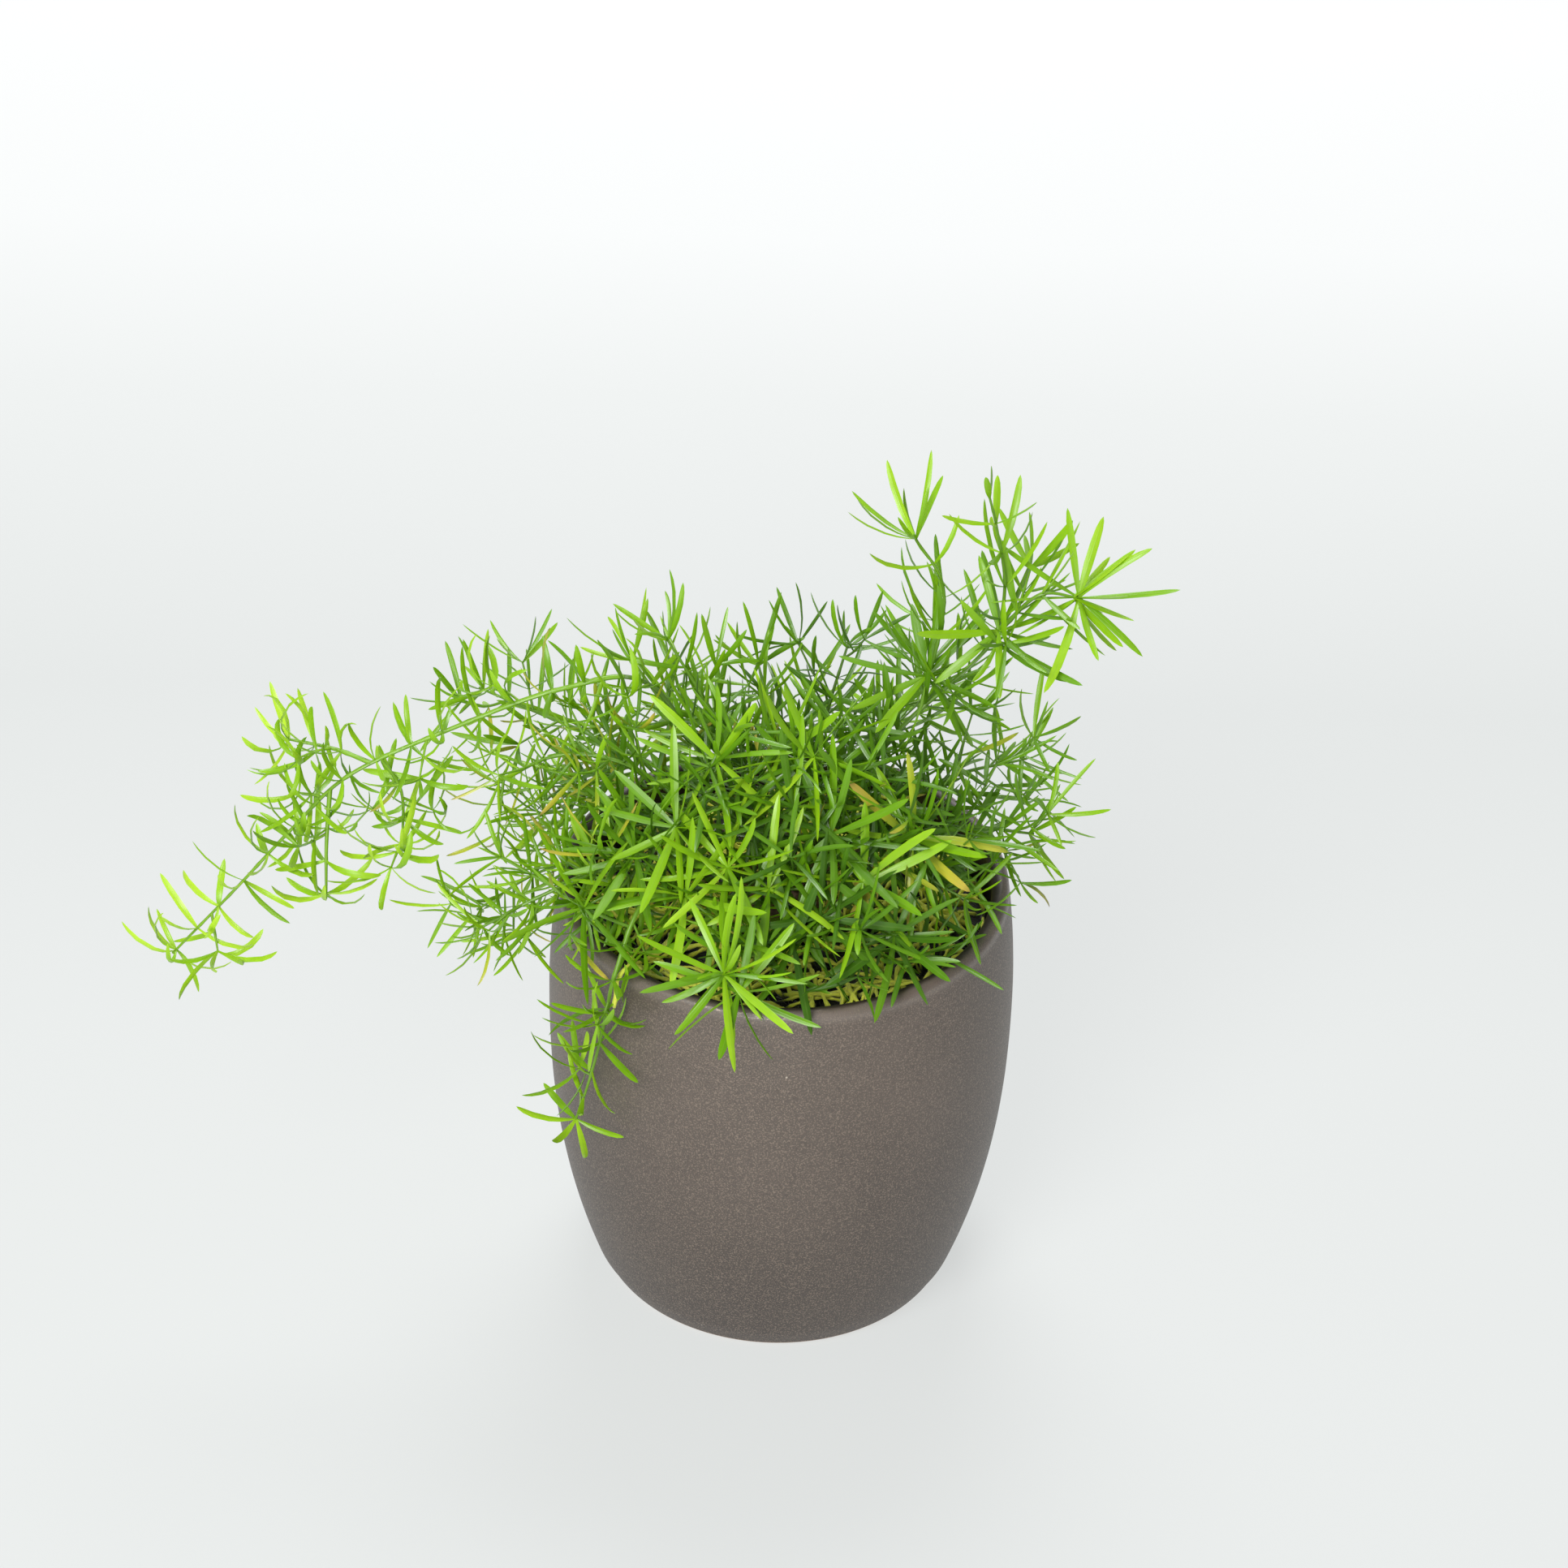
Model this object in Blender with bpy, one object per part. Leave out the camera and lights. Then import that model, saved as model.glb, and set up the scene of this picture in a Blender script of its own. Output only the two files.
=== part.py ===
"""A potted asparagus fern: a round ceramic pot with soil and moss, and a crown whose wiry
stalks carry leafy shoots. Metres, +Z up, origin at the centre of the pot's flat underside."""

import math

import bmesh
import bpy
import numpy as np
from mathutils import Vector

# Pot: a turned ceramic bowl shape, widest at the belly
POT_HEIGHT = 0.129
FOOT_RADIUS = 0.051
BELLY_RADIUS = 0.065
BELLY_HEIGHT = 0.089
RIM_RADIUS = 0.062
WALL = 0.005
FLOOR = 0.007
FOOT_ROUNDING = 0.0025
LOWER_CURVE = 2.35  # power of the curve from the foot to the belly
UPPER_CURVE = 2.0  # power of the curve from the belly to the rim
POT_SIDES = 40
OUTER_BANDS = 9  # facets up the outer wall
INNER_BANDS = 6  # facets up the inner wall, which the soil follows
FOOT_FACETS = 3
FOOT_SWEEP = math.radians(70)  # of the rounding under the foot
RIM_FACETS = 6
POT_COLOUR = (0.135, 0.108, 0.092)

# Fill, measured down from the rim
SOIL_DOWN = 0.017
MOSS_DOWN = 0.0105
MOSS_LUMP = 0.0012
MOSS_CLUMPS = 6
MOSS_SPACE = 0.0008  # between clumps, and from a clump to the wall and the crown
MOSS_SHOULDER = 0.00075  # how far a clump's upper edge is pulled in
MOSS_WAVES_ROUND = 7  # lumps of the moss, in radians of wave to a radian of bearing
MOSS_WAVES_OUT = 190  # and to a metre outwards
SOIL_COLOUR = (0.030, 0.020, 0.012)
MOSS_COLOUR = (0.22, 0.20, 0.035)

# Plant
CROWN_RADIUS = 0.011
CROWN_HEIGHT = 0.016
STALK_RADIUS = 0.00065
SHOOT_RADIUS = 0.00055
SHOOT_SIDES = 5
NEEDLE_LENGTH = 0.0205
NEEDLE_WIDTH = 0.0018
NEEDLE_THICKNESS = 0.0006
WHORL_SPACING = 0.0115
WHORL_LENGTH = 0.0010  # the stretch of shoot that a whorl of needles grows from
WHORL_START = 0.7  # from a shoot's start to its first whorl, in whorl spacings
WHORL_VARIATION = 0.15  # share by which the needles of whorls differ in length
NEEDLE_VARIATION = 0.1  # and the needles of one whorl
WHORL_WAVE, NEEDLE_WAVE, TURN_WAVE = 2.4, 2.0, 1.7  # radians of variation, needle by needle
NEEDLE_LEAN = 0.5  # towards the shoot's tip, for each step straight out
NEEDLE_WIDEST = 0.45  # place along a needle of its widest point
NEEDLE_BEND = 0.22  # how far a needle's tip bends off its line, as a share of its length
NEEDLE_TURN = 0.5  # the most of that bend that is up or down
NEEDLE_FORWARD = 0.25  # the part of that bend along the shoot
NEEDLE_TIP_WIDTH = 0.6  # mean width of a needle beyond its widest point, as a share
NEEDLE_ROOT = 0.001  # the stretch of a needle beside its own shoot
NEEDLE_SIZES = (1.0, 0.75, 0.55)  # shares of its length, tried in turn until a needle has room
BUD_LENGTH = 4 * SHOOT_RADIUS
EXIT_LENGTH = 0.004  # the straight start of a stalk
ROUTE_STEP = 0.002
CURVE_STEPS = 16  # between two given points of a route
STALK_STEPS = 3  # steps of the route from one ring of a stalk to the next
CROWN_COLOUR = (0.16, 0.10, 0.05)
STALK_COLOUR = (0.12, 0.20, 0.03)
SHOOT_COLOUR = (0.13, 0.30, 0.03)

CLEARANCE = 0.0003  # between neighbouring pieces
NEEDLE_CLEARANCE = 0.0004

# Each frond's route, in millimetres from the centre of the mouth: x, y, and height over the rim.
# It starts at the crown. "bare" is the share of the route that is leafless stalk.
FRONDS = {
    "left_arching": (0.34, [(-16, 3, 22), (-37, 4, 59), (-61, 0, 60), (-92, -4, 48),
                            (-118, -9, 36), (-134, -13, 20), (-149, -17, 3), (-167, -21, -17)]),
    "left_upper": (0.45, [(-20, 15, 14), (-48, 28, 22), (-70, 32, 30), (-86, 33, 37)]),
    "left_middle": (0.45, [(-22, 1, 16), (-42, 4, 32), (-62, 6, 34), (-80, 5, 24)]),
    "left_low": (0.45, [(-24, -12, 10), (-46, -22, 17), (-66, -28, 11), (-82, -31, 2)]),
    "top_left": (0.40, [(-14, 13, 18), (-30, 22, 34), (-44, 27, 53)]),
    "top_middle": (0.35, [(-8, 6, 22), (-20, 12, 44), (-34, 18, 66)]),
    "top_centre": (0.40, [(-2, 14, 20), (-5, 26, 35), (-9, 37, 46)]),
    "back_left": (0.45, [(-10, 22, 12), (-20, 40, 21), (-34, 54, 18)]),
    "back_right": (0.45, [(12, 22, 12), (25, 40, 20), (38, 53, 19)]),
    "back_low": (0.45, [(1, 26, 8), (2, 46, 14), (4, 64, 6)]),
    "right_back": (0.40, [(6, 16, 22), (11, 30, 36), (16, 38, 52)]),
    "right_middle": (0.40, [(16, 13, 16), (27, 23, 32), (36, 29, 47)]),
    "right_tall": (0.30, [(14, 4, 20), (31, 11, 43), (47, 16, 58), (55, 18, 69),
                          (57, 18, 85), (54, 15, 104), (51, 13, 117)]),
    "right_low": (0.45, [(22, 7, 12), (44, 14, 24), (66, 19, 28)]),
    "right_front": (0.45, [(22, -3, 12), (46, -3, 20), (68, -1, 17)]),
    "front_centre": (0.35, [(3, -6, 22), (6, -11, 34), (9, -15, 50)]),
    "front_left": (0.35, [(-7, -8, 20), (-15, -15, 36), (-21, -20, 51)]),
    "front_low": (0.40, [(-9, -20, 12), (-14, -32, 20), (-18, -44, 17)]),
    "front_middle": (0.40, [(1, -18, 16), (3, -31, 25), (8, -45, 15)]),
    "front_rim": (0.50, [(-5, -26, 8), (-9, -44, 13), (-13, -60, 12), (-15, -70, 3)]),
    "front_right": (0.40, [(13, -9, 18), (25, -17, 27), (36, -25, 32)]),
    "front_dark": (0.45, [(14, -22, 8), (25, -36, 11), (34, -46, 5)]),
}
# Side shoots: the shoot each leaves, how far along it (at the nearest whorl), and its route
SIDE_SHOOTS = {
    "left_arching_upper": ("left_arching", 0.52, [(-128, -3, 46), (-144, 3, 51)]),
    "left_arching_lower": ("left_arching", 0.66, [(-133, -20, 8), (-137, -28, -10)]),
    "right_tall_outer": ("right_tall", 0.55, [(70, 17, 86), (87, 16, 82)]),
    "right_tall_inner": ("right_tall", 0.20, [(41, 20, 80), (32, 22, 98)]),
}
# The frond that hangs over the rim and down the pot's outside: points as bearing in degrees,
# distance out from the pot's wall and height over the rim, in millimetres.
TRAILING = ("front_trailing", 0.42, [(-17, -17, 12), (-36, -37, 19)],
            [(229, 5, 4), (227, 6, -10), (225, 6, -24), (223, 6, -38), (220, 8, -52)])

MM = 0.001


# ---------------------------------------------------------------- pot, soil and moss
def outer_radius(z):
    """The pot's outer radius at height z."""
    if z < BELLY_HEIGHT:
        share = (BELLY_HEIGHT - max(z, 0.0)) / BELLY_HEIGHT
        return BELLY_RADIUS - (BELLY_RADIUS - FOOT_RADIUS) * share**LOWER_CURVE
    share = (z - BELLY_HEIGHT) / (POT_HEIGHT - BELLY_HEIGHT)
    return BELLY_RADIUS - (BELLY_RADIUS - RIM_RADIUS) * share**UPPER_CURVE


def inner_radius(z):
    return outer_radius(z) - WALL


def steps(start, end, count):
    return [start + (end - start) * i / count for i in range(count + 1)]


def face_outwards(bm):
    bmesh.ops.recalc_face_normals(bm, faces=bm.faces)
    if bm.calc_volume(signed=True) < 0:
        bmesh.ops.reverse_faces(bm, faces=bm.faces)


def new_object(name, bm, colour, roughness, metallic=0.0):
    """An object of its own material from a finished bmesh."""
    face_outwards(bm)
    mesh = bpy.data.meshes.new(name)
    bm.to_mesh(mesh)
    bm.free()
    obj = bpy.data.objects.new(name, mesh)
    bpy.context.scene.collection.objects.link(obj)
    give_material(obj, colour, roughness, metallic)
    return obj


def give_material(obj, colour, roughness, metallic=0.0):
    material = bpy.data.materials.new(obj.name)
    material.use_nodes = True
    shader = material.node_tree.nodes["Principled BSDF"]
    shader.inputs["Base Color"].default_value = (*colour, 1.0)
    shader.inputs["Roughness"].default_value = roughness
    shader.inputs["Metallic"].default_value = metallic
    obj.data.materials.append(material)


def turned(profile):
    """A closed solid of revolution from (radius, height) points whose ends lie on the axis."""
    bm = bmesh.new()
    corners = [bm.verts.new((radius, 0.0, z)) for radius, z in profile]
    edges = [bm.edges.new(pair) for pair in zip(corners, corners[1:])]
    bmesh.ops.spin(bm, geom=corners + edges, cent=(0, 0, 0), axis=(0, 0, 1),
                   angle=2 * math.pi, steps=POT_SIDES, use_merge=True)
    bmesh.ops.remove_doubles(bm, verts=bm.verts, dist=1e-6)
    return bm


def inner_wall():
    """(radius, height) down the pot's inner wall, from the rim to the corner with its floor."""
    return [(inner_radius(z), z) for z in steps(POT_HEIGHT - WALL / 2, FLOOR + 2 * WALL, INNER_BANDS)]


def make_pot():
    rim = WALL / 2
    rim_top = POT_HEIGHT - rim
    foot = [(FOOT_RADIUS - FOOT_ROUNDING * (1 - math.sin(a)), FOOT_ROUNDING * (1 - math.cos(a)))
            for a in steps(0.0, FOOT_SWEEP, FOOT_FACETS)]
    outside = [(outer_radius(z), z) for z in steps(FOOT_ROUNDING, rim_top, OUTER_BANDS)]
    over_rim = [(outer_radius(rim_top) - rim + rim * math.cos(a), rim_top + rim * math.sin(a))
                for a in steps(0.0, math.pi, RIM_FACETS)[1:-1]]
    corner = [(inner_radius(FLOOR) - WALL, FLOOR)]
    profile = [(0, 0)] + foot[:-1] + outside + over_rim + inner_wall() + corner + [(0, FLOOR)]
    new_object("pot", turned(profile), POT_COLOUR, 0.42, 0.25).data.shade_smooth()


def make_soil():
    """The plug of soil, a clearance inside the pot's inner wall all round."""
    top = POT_HEIGHT - SOIL_DOWN
    floor = FLOOR + CLEARANCE
    wall = [(inner_radius(top), top)] + [(radius, z) for radius, z in inner_wall() if z < top - WALL]
    side = [(radius - 2 * CLEARANCE, z) for radius, z in wall]
    corner = inner_radius(FLOOR) - WALL - 2 * CLEARANCE
    profile = [(0, top)] + side + [(corner, floor), (0, floor)]
    new_object("potting_soil", turned(profile[::-1]), SOIL_COLOUR, 0.95)


def make_moss(number):
    """One clump: a ring sector of the moss cover with rounded shoulders and a lumpy top."""
    bm = bmesh.new()
    bmesh.ops.create_cube(bm, size=2.0)
    bmesh.ops.subdivide_edges(bm, edges=bm.edges, cuts=2, use_grid_fill=True)
    low = POT_HEIGHT - SOIL_DOWN + CLEARANCE
    high = POT_HEIGHT - MOSS_DOWN - MOSS_LUMP
    inner = CROWN_RADIUS + MOSS_SPACE
    outer = inner_radius(high) - MOSS_SPACE
    middle_radius, half_width = (inner + outer) / 2, (outer - inner) / 2
    half_angle = math.pi / MOSS_CLUMPS
    middle_angle = 2 * half_angle * number
    for corner in bm.verts:
        u, v, w = corner.co
        pull_in = MOSS_SHOULDER * (w > 0.9)
        radius = middle_radius + u * (half_width - pull_in)
        angle = middle_angle + v * (half_angle - (MOSS_SPACE / 2 + pull_in) / radius)
        z = low + (high - low) * (w + 1) / 2
        if w > 0.9 and abs(u) < 0.9 and abs(v) < 0.9:
            wave = MOSS_WAVES_ROUND * angle + MOSS_WAVES_OUT * radius + number
            z += MOSS_LUMP * (0.6 + 0.4 * math.sin(wave))
        corner.co = (radius * math.cos(angle), radius * math.sin(angle), z)
    new_object(f"moss_{number + 1}", bm, MOSS_COLOUR, 0.9)


def make_crown():
    """The woody crown: a squat lump that sits on the soil and carries every stalk."""
    bm = bmesh.new()
    bmesh.ops.create_icosphere(bm, subdivisions=3, radius=1.0)
    bmesh.ops.scale(bm, vec=(CROWN_RADIUS, CROWN_RADIUS, CROWN_HEIGHT / 2), verts=bm.verts)
    bmesh.ops.translate(bm, vec=crown_centre(), verts=bm.verts)
    new_object("root_crown", bm, CROWN_COLOUR, 0.85)


def crown_centre():
    return Vector((0, 0, POT_HEIGHT - SOIL_DOWN + CLEARANCE + CROWN_HEIGHT / 2))


# ---------------------------------------------------------------- routes of the fronds
def from_mouth(point):
    return Vector((point[0] * MM, point[1] * MM, POT_HEIGHT + point[2] * MM))


def beside_pot(bearing, out, over_rim):
    """A point that far out from the pot's outer wall."""
    z = POT_HEIGHT + over_rim * MM
    radius = (outer_radius(min(z, POT_HEIGHT))) + out * MM
    angle = math.radians(bearing)
    return Vector((radius * math.cos(angle), radius * math.sin(angle), z))


def crown_exit(towards):
    """Two points that take a stalk straight out of the crown's surface."""
    centre = crown_centre()
    way = (towards - centre).normalized()
    half = CROWN_HEIGHT / 2
    reach = 1 / math.sqrt((way.x**2 + way.y**2) / CROWN_RADIUS**2 + (way.z / half) ** 2)
    surface = centre + way * reach
    out = Vector((way.x / CROWN_RADIUS**2, way.y / CROWN_RADIUS**2, way.z / half**2)).normalized()
    start = surface + out * (CLEARANCE + STALK_RADIUS * out.cross(way).length)
    return [start, start + way * EXIT_LENGTH]


def smooth_route(points):
    """Points an even step apart along a smooth curve through the given ones."""
    ends = [2 * points[0] - points[1]] + points + [2 * points[-1] - points[-2]]
    dense = []
    for a, b, c, d in zip(ends, ends[1:], ends[2:], ends[3:]):
        for i in range(CURVE_STEPS):
            t = i / CURVE_STEPS
            dense.append(0.5 * (2 * b + (c - a) * t + (2 * a - 5 * b + 4 * c - d) * t**2
                                + (3 * b - a - 3 * c + d) * t**3))
    dense.append(points[-1])
    lengths = [0.0]
    for a, b in zip(dense, dense[1:]):
        lengths.append(lengths[-1] + (b - a).length)
    count = max(4, round(lengths[-1] / ROUTE_STEP))
    wanted = steps(0.0, lengths[-1], count)
    axes = [np.interp(wanted, lengths, [p[axis] for p in dense]) for axis in range(3)]
    return [Vector(p) for p in zip(*axes)]


def route_between(route, first, last):
    """The stretch of an evenly spaced route between two shares of its length."""
    places = np.linspace(first, last, max(3, round((last - first) * len(route)))) * (len(route) - 1)
    axes = [np.interp(places, range(len(route)), [p[axis] for p in route]) for axis in range(3)]
    return [Vector(p) for p in zip(*axes)]


def frond_routes():
    """Each frond's name, bare share and whole route from the crown to its tip."""
    found = {}
    for name, (bare, points) in FRONDS.items():
        way = [from_mouth(p) for p in points]
        found[name] = (bare, smooth_route(crown_exit(way[0]) + way))
    name, bare, over_mouth, hanging = TRAILING
    way = [from_mouth(p) for p in over_mouth] + [beside_pot(*p) for p in hanging]
    found[name] = (bare, smooth_route(crown_exit(way[0]) + way))
    return found


def whorl_places(route):
    """Where along a leafy shoot's route its whorls stand, in steps of the route."""
    length = (len(route) - 1) * (route[1] - route[0]).length
    whorls = max(2, round(length / WHORL_SPACING))
    return [(index + WHORL_START) / whorls * (len(route) - 1) for index in range(whorls)]


def on_route(route, place):
    """The point at a place on a route, and the way that the route runs there."""
    before = min(int(place), len(route) - 2)
    step = route[before + 1] - route[before]
    return route[before] + step * (place - before), step.normalized()


def side_route(parent, share, points):
    """A side shoot's route, which starts a clearance off the whorl that it grows from."""
    wanted = share * (len(parent) - 1)
    place = min(whorl_places(parent), key=lambda place: abs(place - wanted))
    origin, along = on_route(parent, place)
    way = [from_mouth(p) for p in points]
    out = (way[0] - origin).normalized()
    start = (SHOOT_RADIUS + CLEARANCE + SHOOT_RADIUS * abs(out.dot(along))) / out.cross(along).length
    return smooth_route([origin + out * start, origin + out * (start + BUD_LENGTH)] + way)


# ---------------------------------------------------------------- what is already grown
class Grown:
    """Every stretch of stalk, shoot and needle so far, as fat line segments."""

    def __init__(self):
        self.starts, self.ends, self.radii, self.owners = [], [], [], []

    def add(self, start, end, radius, owner):
        self.starts.append(tuple(start))
        self.ends.append(tuple(end))
        self.radii.append(radius)
        self.owners.append(owner)

    def add_route(self, route, radius, owner):
        for a, b in zip(route, route[1:]):
            self.add(a, b, radius, owner)

    def room(self, start, end, radius, own):
        """The least gap from this stretch to anything but its own whorl and its own stem."""
        other = np.array([owner not in own for owner in self.owners])
        p, q = np.array(start), np.array(end)
        starts, ends = np.array(self.starts)[other], np.array(self.ends)[other]
        return float((segment_gaps(p, q, starts, ends) - np.array(self.radii)[other]).min()) - radius


def segment_gaps(p, q, starts, ends):
    """Distances from the segment p-q to each of the others."""
    d, ds, r = q - p, ends - starts, p - starts
    a, e = d @ d, (ds * ds).sum(1)
    b, c, f = ds @ d, r @ d, (ds * r).sum(1)
    spread = np.maximum(a * e - b * b, 1e-18)
    s = np.clip((b * f - c * e) / spread, 0, 1)
    t = (b * s + f) / e
    s = np.where(t < 0, np.clip(-c / a, 0, 1), np.where(t > 1, np.clip((b - c) / a, 0, 1), s))
    t = np.clip(t, 0, 1)
    return np.linalg.norm(r + np.outer(s, d) - ds * t[:, None], axis=1)


def clear_of_pot(start, end, margin):
    """Does this stretch stay off the pot, the moss and the ground?"""
    for share in steps(0.0, 1.0, 8):
        x, y, z = start + (end - start) * share
        radius = math.hypot(x, y)
        over = z > POT_HEIGHT + margin
        outside = radius > outer_radius(min(z, POT_HEIGHT)) + margin and z > margin
        in_mouth = radius < inner_radius(min(z, POT_HEIGHT)) - margin
        if not (over or outside or (in_mouth and z > POT_HEIGHT - MOSS_DOWN + margin)):
            return False
    return True


# ---------------------------------------------------------------- stalks and shoots
def make_stalk(name, route):
    """A bare stalk: a round wire along its route."""
    curve = bpy.data.curves.new(name, "CURVE")
    curve.dimensions = "3D"
    curve.bevel_depth = STALK_RADIUS
    curve.bevel_resolution = 1
    curve.use_fill_caps = True
    spline = curve.splines.new("POLY")
    spline.points.add(len(route) - 1)
    for point, place in zip(spline.points, route):
        point.co = (*place, 1.0)
    obj = bpy.data.objects.new(name, curve)
    bpy.context.scene.collection.objects.link(obj)
    give_material(obj, STALK_COLOUR, 0.5)


def carried_on(bm, face, centre, target, turn, scale):
    """Extrudes the leading face and takes it from centre to target. Returns it and the new sides."""
    lead = bmesh.ops.extrude_discrete_faces(bm, faces=[face])["faces"][0]
    for corner in lead.verts:
        corner.co = target + turn @ (corner.co - centre) * scale
    sides = [f for edge in lead.edges for f in edge.link_faces if f is not lead]
    return lead, sides


def grow_needle(bm, face, along, length, turn_up, grown, owner, whorl):
    """Draws one side face of a whorl out into a flat pointed needle, if it has room."""
    root = face.calc_center_median()
    out = face.normal.copy()
    out = (out - along * out.dot(along)).normalized()
    across = along.cross(out).normalized()
    way = (along * NEEDLE_LEAN + out).normalized()
    middle = root + way * length * NEEDLE_WIDEST
    bend = (Vector((0, 0, 1)) * turn_up + along * NEEDLE_FORWARD) * length * NEEDLE_BEND
    tip = root + way * length + bend
    half = NEEDLE_WIDTH / 2
    for start, end, radius in ((root + way * NEEDLE_ROOT, middle, half), (middle, tip, half)):
        if grown.room(start, end, radius, ((owner, whorl), owner)) < NEEDLE_CLEARANCE:
            return False
        if not clear_of_pot(start, end, half + NEEDLE_CLEARANCE):
            return False
    blade = bmesh.ops.extrude_discrete_faces(bm, faces=[face])["faces"][0]
    flat = across.cross(way).normalized()
    for corner in blade.verts:
        side = math.copysign(half, (corner.co - root).dot(across))
        lift = math.copysign(NEEDLE_THICKNESS / 2, (corner.co - root).dot(along))
        corner.co = middle + across * side - flat * lift
    point = bmesh.ops.poke(bm, faces=[blade])["verts"][0]
    point.co = tip
    grown.add(root, middle, half, (owner, whorl))
    grown.add(middle, tip, half * NEEDLE_TIP_WIDTH, (owner, whorl))
    return True


def varied(variation, wave):
    """A share from 1 - 2 * variation to 1, for a wave from -1 to 1."""
    return 1 - variation + variation * wave


def make_shoot(name, route, grown):
    """A leafy shoot: a thin stem drawn along its route with a whorl of needles at each node."""
    bm = bmesh.new()
    along = (route[1] - route[0]).normalized()
    bmesh.ops.create_cone(bm, cap_ends=True, segments=SHOOT_SIDES, radius1=SHOOT_RADIUS,
                          radius2=SHOOT_RADIUS, depth=WHORL_LENGTH)
    lead = max(bm.faces, key=lambda face: face.calc_center_median().z)
    turn = Vector((0, 0, 1)).rotation_difference(along)
    for corner in bm.verts:
        corner.co = route[0] + turn @ (corner.co + Vector((0, 0, WHORL_LENGTH / 2)))
    centre = route[0] + along * WHORL_LENGTH
    nodes = []
    for place in whorl_places(route):
        here, ahead = on_route(route, place)
        for target in (here - ahead * WHORL_LENGTH / 2, here + ahead * WHORL_LENGTH / 2):
            bend = along.rotation_difference(ahead)
            lead, sides = carried_on(bm, lead, centre, target, bend, 1.0)
            centre, along = target, ahead
        nodes.append((sides, ahead))
    bud = bmesh.ops.poke(bm, faces=[lead])["verts"][0]
    bud.co = centre + along * BUD_LENGTH
    face_outwards(bm)
    for whorl, (sides, ahead) in enumerate(nodes):
        size = NEEDLE_LENGTH * varied(WHORL_VARIATION, math.sin(WHORL_WAVE * whorl + len(name)))
        for order, face in enumerate(sides):
            length = size * varied(NEEDLE_VARIATION, math.cos(NEEDLE_WAVE * order + whorl))
            turn_up = NEEDLE_TURN * math.sin(TURN_WAVE * order + whorl)
            for shorter in NEEDLE_SIZES:
                if grow_needle(bm, face, ahead, length * shorter, turn_up, grown, name, whorl):
                    break
    new_object(f"shoot_{name}", bm, SHOOT_COLOUR, 0.45)


def make_plant():
    routes = frond_routes()
    grown = Grown()
    shoots = {}
    for name, (bare, route) in routes.items():
        grown.add_route(route, STALK_RADIUS, name)
        length = (len(route) - 1) * (route[1] - route[0]).length
        stalk = route_between(route, 0.0, bare)
        rings = stalk[:-1:STALK_STEPS] + [stalk[-1]]
        make_stalk(f"stalk_{name}", rings)
        shoots[name] = route_between(route, bare + CLEARANCE / length, 1.0)
    for name, (parent, share, points) in SIDE_SHOOTS.items():
        shoots[name] = side_route(shoots[parent], share, points)
        grown.add_route(shoots[name], SHOOT_RADIUS, name)
    for name, route in shoots.items():
        make_shoot(name, route, grown)


for startup_object in list(bpy.data.objects):
    bpy.data.objects.remove(startup_object)
make_pot()
make_soil()
for clump in range(MOSS_CLUMPS):
    make_moss(clump)
make_crown()
make_plant()
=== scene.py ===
"""A potted asparagus fern on a pale studio floor: a speckled stoneware pot, soil, moss, and the
wiry stalks and leafy shoots of the plant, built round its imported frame."""
import math
import random
from collections import namedtuple

import bmesh
import bpy
from mathutils import Matrix, Vector, noise


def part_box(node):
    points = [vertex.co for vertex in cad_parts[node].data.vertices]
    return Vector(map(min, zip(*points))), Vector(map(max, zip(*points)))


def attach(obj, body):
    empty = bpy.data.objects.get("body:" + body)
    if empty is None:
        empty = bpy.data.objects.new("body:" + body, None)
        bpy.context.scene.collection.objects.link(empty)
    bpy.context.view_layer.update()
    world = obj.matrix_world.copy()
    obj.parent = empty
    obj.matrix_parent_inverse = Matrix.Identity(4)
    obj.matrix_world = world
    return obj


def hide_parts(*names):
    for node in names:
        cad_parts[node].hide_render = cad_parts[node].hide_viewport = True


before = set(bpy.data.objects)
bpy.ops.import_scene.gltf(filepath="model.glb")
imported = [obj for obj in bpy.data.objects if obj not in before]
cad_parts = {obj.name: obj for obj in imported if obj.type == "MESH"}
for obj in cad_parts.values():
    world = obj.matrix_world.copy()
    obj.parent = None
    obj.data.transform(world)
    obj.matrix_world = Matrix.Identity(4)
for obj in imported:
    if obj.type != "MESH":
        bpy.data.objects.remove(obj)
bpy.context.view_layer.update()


# ================================================================ camera
# A long lens on a stand, a little out of level. It looks down at the plant from the front and
# leaves room above it and to its right.
VIEW_DOWN = math.radians(35.64)
VIEW_LEAN = math.radians(1.59)
VIEW_DISTANCE = 1.2
VIEW_TARGET = Vector((-0.0007, 0.0, 0.1597))
FOCAL_LENGTH = 101.35
FILM_WIDTH = 36.0

lens = bpy.data.cameras.new("studio_camera")
lens.lens, lens.sensor_width = FOCAL_LENGTH, FILM_WIDTH
camera = bpy.data.objects.new("studio_camera", lens)
bpy.context.scene.collection.objects.link(camera)
stand = VIEW_TARGET + VIEW_DISTANCE * Vector((0, -math.cos(VIEW_DOWN), math.sin(VIEW_DOWN)))
camera.matrix_world = (Matrix.Translation(stand) @ Matrix.Rotation(math.pi / 2 - VIEW_DOWN, 4, "X")
                       @ Matrix.Rotation(VIEW_LEAN, 4, "Z"))
bpy.context.scene.camera = camera


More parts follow.
